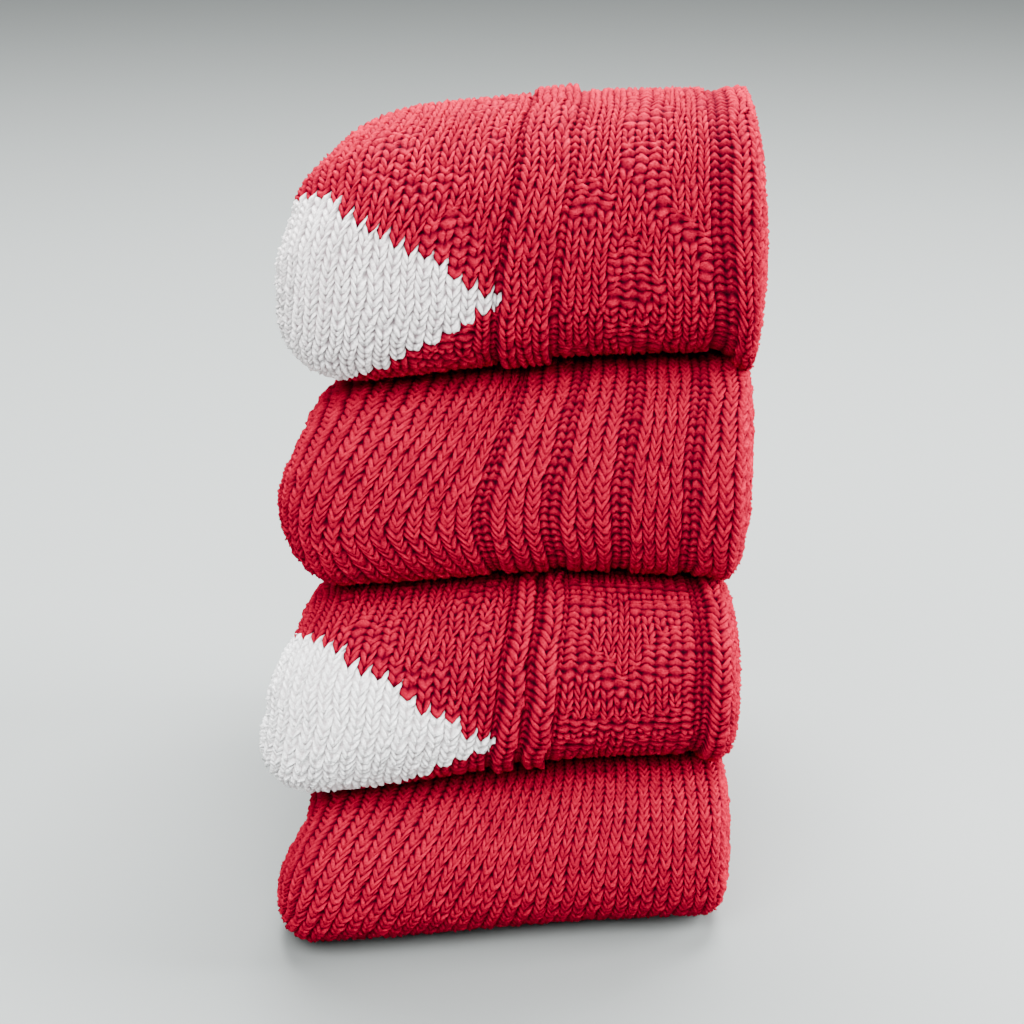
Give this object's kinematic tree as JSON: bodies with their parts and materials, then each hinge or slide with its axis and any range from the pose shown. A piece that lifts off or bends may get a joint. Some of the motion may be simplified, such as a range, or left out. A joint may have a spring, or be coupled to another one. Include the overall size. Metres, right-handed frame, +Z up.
{
  "type": "pair of socks",
  "caption": "Pair of long red wool socks with pale heels, each folded to and fro and stacked one on the other.",
  "frame": {"origin": "middle of the stack's box, on the surface it rests on", "axes": "+X along the folds to the right, +Y away from the front of the folds, +Z up"},
  "size_m": [0.1074, 0.1754, 0.1833],
  "materials": {
    "red_wool": "knitted red wool, matt with a soft halo of fibres",
    "grey_marl": "knitted light grey marl wool, matt",
    "white_wool": "knitted white wool, matt"
  },
  "bodies": {
    "root": {"upper_sock": "red_wool", "upper_cuff": "red_wool", "upper_heel": "grey_marl", "upper_toe": "grey_marl", "lower_sock": "red_wool", "lower_cuff": "red_wool", "lower_heel": "white_wool", "lower_toe": "white_wool"}
  },
  "joints": []
}
